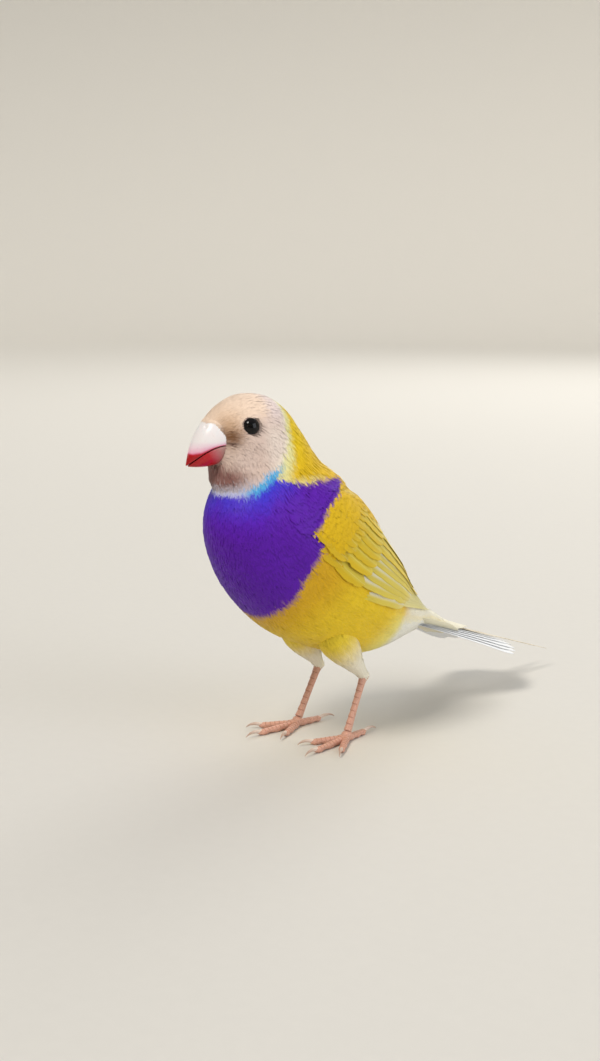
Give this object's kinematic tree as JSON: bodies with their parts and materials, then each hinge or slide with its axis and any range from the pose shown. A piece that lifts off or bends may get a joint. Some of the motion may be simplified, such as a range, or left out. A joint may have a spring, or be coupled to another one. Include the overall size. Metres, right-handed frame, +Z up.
{
  "type": "gouldian finch",
  "caption": "Life-size still model of a small standing finch with a stout conical bill, folded wings and a fanned tail with two fine pins.",
  "frame": {"origin": "on the floor, under the centre of the bird's bounding box", "axes": "+Z up, the bird faces -Y, +X to its left side, +Y along the body towards the tail"},
  "size_m": [0.037, 0.1304, 0.0867],
  "materials": {
    "cream_plumage": "soft matt feathers",
    "violet_plumage": "soft feathers with a silky sheen",
    "yellow_plumage": "soft matt feathers",
    "white_plumage": "soft matt feathers",
    "pale_yellow_plumage": "soft matt feathers",
    "wing_vanes": "smooth close barbs",
    "tail_vanes": "smooth close barbs",
    "pink_white_horn": "smooth horn, pale and translucent",
    "red_horn": "smooth horn",
    "dark_eye": "wet and glossy",
    "pink_scales": "dry fine scales"
  },
  "bodies": {
    "root": {"head": "cream_plumage", "neck": "violet_plumage", "torso": "yellow_plumage", "rump": "white_plumage", "tail": "tail_vanes", "wing_left": "wing_vanes", "wing_right": "wing_vanes", "thigh_left": "pale_yellow_plumage", "thigh_right": "pale_yellow_plumage", "shank_left": "pink_scales", "shank_right": "pink_scales", "foot_left": "pink_scales", "foot_right": "pink_scales", "eye_left": "dark_eye", "eye_right": "dark_eye", "bill_upper": "pink_white_horn", "bill_lower": "red_horn"}
  },
  "joints": []
}
